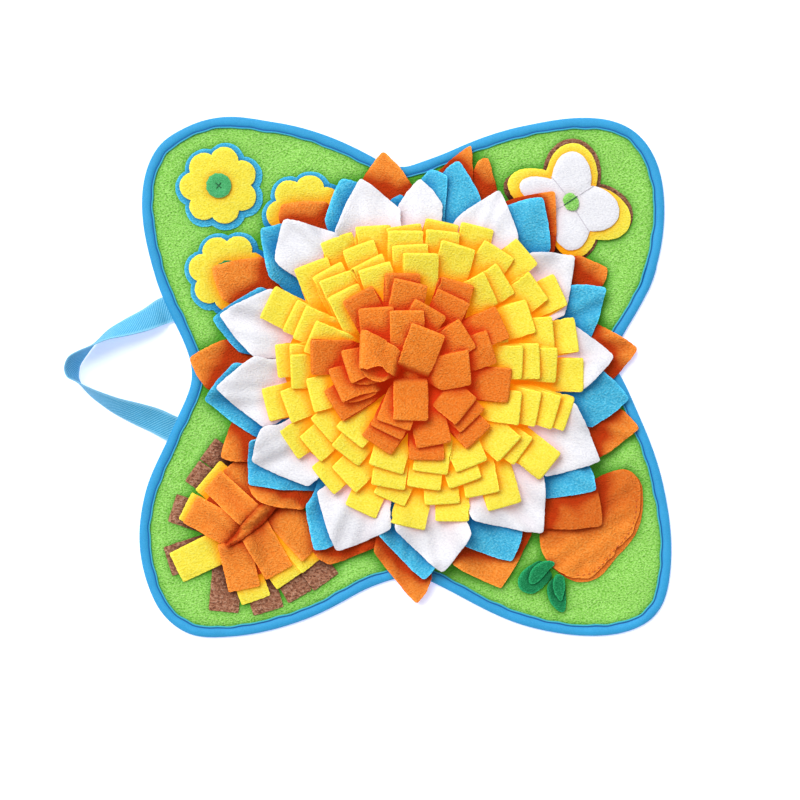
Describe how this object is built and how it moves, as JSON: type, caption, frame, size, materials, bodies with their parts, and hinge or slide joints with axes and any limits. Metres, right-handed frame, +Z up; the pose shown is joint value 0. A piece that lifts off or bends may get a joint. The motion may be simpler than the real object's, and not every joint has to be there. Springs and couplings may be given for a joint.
{
  "type": "snuffle mat",
  "caption": "Four-lobed fleece nose-work mat with a bound edge, a webbing hand loop, a layered flower of folded loops and petals, and sewn corner pieces.",
  "frame": {"origin": "on the mat's flat underside, under the middle of the loop flower", "axes": "+X away from the hand loop, +Y towards the two upper lobes, +Z up out of the mat"},
  "size_m": [0.5738, 0.4934, 0.0601],
  "materials": {
    "green_fleece": "soft brushed pile",
    "blue_binding": "soft brushed pile",
    "blue_webbing": "matte woven webbing",
    "blue_fleece": "soft brushed pile",
    "yellow_fleece": "soft brushed pile",
    "orange_fleece": "soft brushed pile",
    "white_fleece": "soft brushed pile",
    "brown_fleece": "soft brushed pile",
    "green_felt": "soft felt",
    "light_green_felt": "soft felt",
    "dark_green_felt": "soft felt"
  },
  "bodies": {
    "root": {"mat": "green_fleece", "edge_binding": "blue_binding", "hand_loop": "blue_webbing", "flower_corner_blue": "blue_fleece", "flower_corner_yellow": "yellow_fleece", "flower_corner_dot": "green_felt", "flower_upper_blue": "blue_fleece", "flower_upper_yellow": "yellow_fleece", "flower_upper_dot": "green_felt", "flower_lower_blue": "blue_fleece", "flower_lower_yellow": "yellow_fleece", "flower_lower_dot": "green_felt", "butterfly_brown": "brown_fleece", "butterfly_yellow": "yellow_fleece", "butterfly_white": "white_fleece", "butterfly_body": "light_green_felt", "strips_brown": "brown_fleece", "strips_yellow": "yellow_fleece", "strips_orange": "orange_fleece", "carrot_under": "orange_fleece", "carrot_upper": "orange_fleece", "carrot_leaf_folded": "dark_green_felt", "carrot_leaf_pointed": "dark_green_felt", "petals_orange": "orange_fleece", "petals_blue": "blue_fleece", "petals_white": "white_fleece", "loops_yellow_4": "yellow_fleece", "loops_yellow_3": "yellow_fleece", "loops_yellow_2": "yellow_fleece", "loops_yellow_1": "yellow_fleece", "loops_orange_4": "orange_fleece", "loops_orange_3": "orange_fleece", "loops_orange_2": "orange_fleece", "loops_orange_1": "orange_fleece"}
  },
  "joints": []
}
